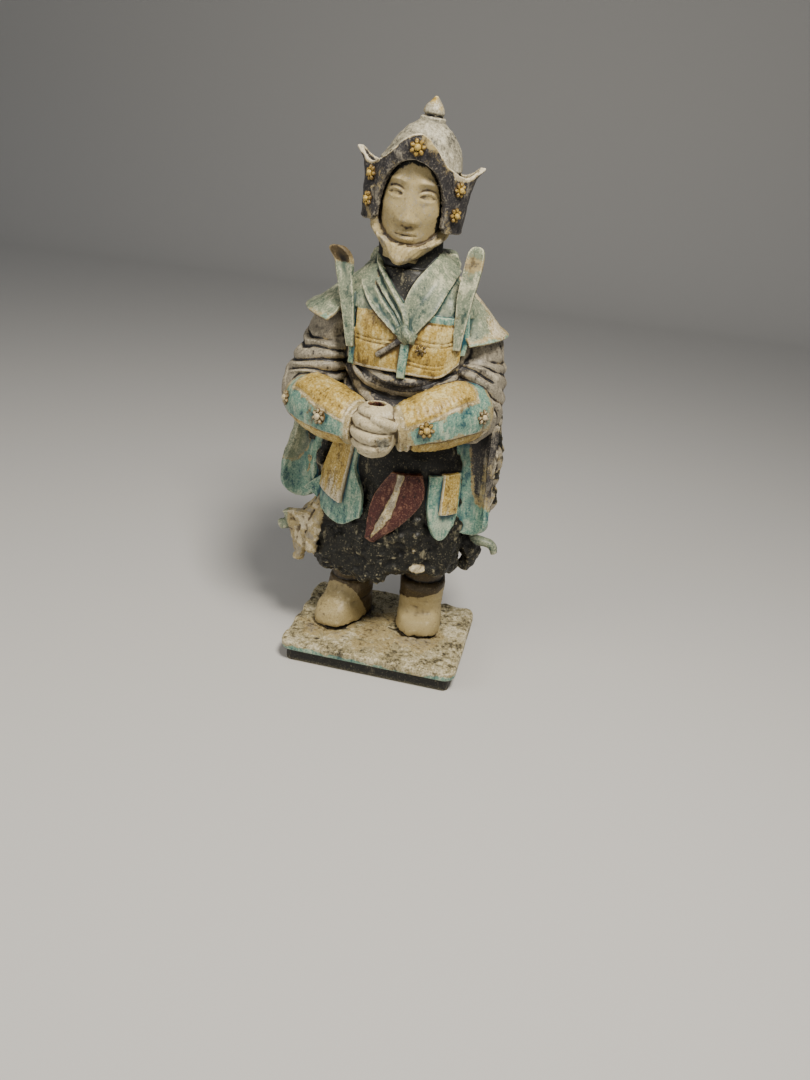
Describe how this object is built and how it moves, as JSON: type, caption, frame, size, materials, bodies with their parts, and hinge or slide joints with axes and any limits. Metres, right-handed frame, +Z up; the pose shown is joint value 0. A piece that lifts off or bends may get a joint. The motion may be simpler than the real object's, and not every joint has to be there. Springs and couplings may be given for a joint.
{
  "type": "glazed pottery warrior figure",
  "caption": "Standing helmeted guard in three-colour glazed pottery, hands clasped round an empty socket, on an integral rectangular slab.",
  "frame": {"origin": "centre of the slab's flat underside", "axes": "+Z up the figure, -Y the way the figure faces, +X towards the figure's own left"},
  "size_m": [0.2583, 0.1874, 0.5983],
  "materials": {
    "glazed_pottery": "worn lead glazes in turquoise, ochre, celadon and black-green over buff clay, with bare clay on face, hands and boots"
  },
  "bodies": {
    "root": {"warrior_figure": "glazed_pottery"}
  },
  "joints": []
}
